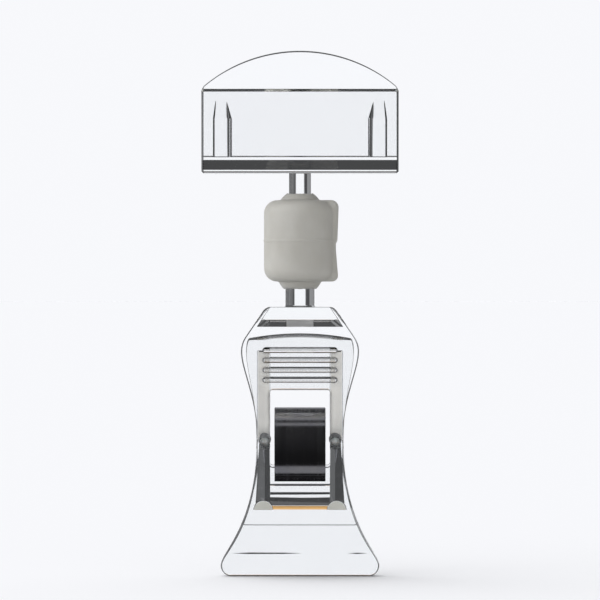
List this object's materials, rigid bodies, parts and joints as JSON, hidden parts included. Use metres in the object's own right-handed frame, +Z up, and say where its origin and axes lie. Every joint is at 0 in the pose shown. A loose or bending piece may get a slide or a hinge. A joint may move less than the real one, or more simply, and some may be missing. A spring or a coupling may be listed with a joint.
{
  "type": "sign holder",
  "caption": "Clear spring clip with flared jaws and a sprung thumb lever, carrying a milky ball-jointed connector and a clear arched channel that grips a card or sign.",
  "frame": {"origin": "the mouth of the clip: midway between the jaw tips, on the plane where the two gripping pads meet", "axes": "+Z up from the jaws to the card grip, +X to the right across the jaws, +Y to the back, with the thumb lever on the -Y side"},
  "size_m": [0.05, 0.0269, 0.1335],
  "materials": {
    "clear_plastic": "polished, clear, moulded polystyrene or polycarbonate",
    "milky_plastic": "satin, translucent natural nylon or polypropylene",
    "spring_steel": "dark polished spring strip"
  },
  "bodies": {
    "clip": {"rear_jaw": "clear_plastic", "clamp_spring": "spring_steel"},
    "lever": {"front_jaw": "clear_plastic"},
    "connector": {"swivel_connector": "milky_plastic"},
    "grip": {"sign_grip": "clear_plastic"}
  },
  "joints": [
    {"name": "jaw_hinge", "type": "hinge", "parent": "clip", "child": "lever", "pos_m": [0, -0.0015, 0.0348], "axis": [-1, 0, 0], "range_deg": [0, 20], "stiffness_Nm_per_rad": 0.5, "springref_deg": -28.65, "deforming": ["clamp_spring"]},
    {"name": "connector_swivel", "type": "hinge", "parent": "clip", "child": "connector", "pos_m": [0, 0.00125, 0.077], "axis": [0, 0, 1], "continuous": true},
    {"name": "sign_tilt", "type": "hinge", "parent": "connector", "child": "grip", "pos_m": [0, 0.00125, 0.0923], "axis": [1, 0, 0], "range_deg": [-24, 4]}
  ]
}
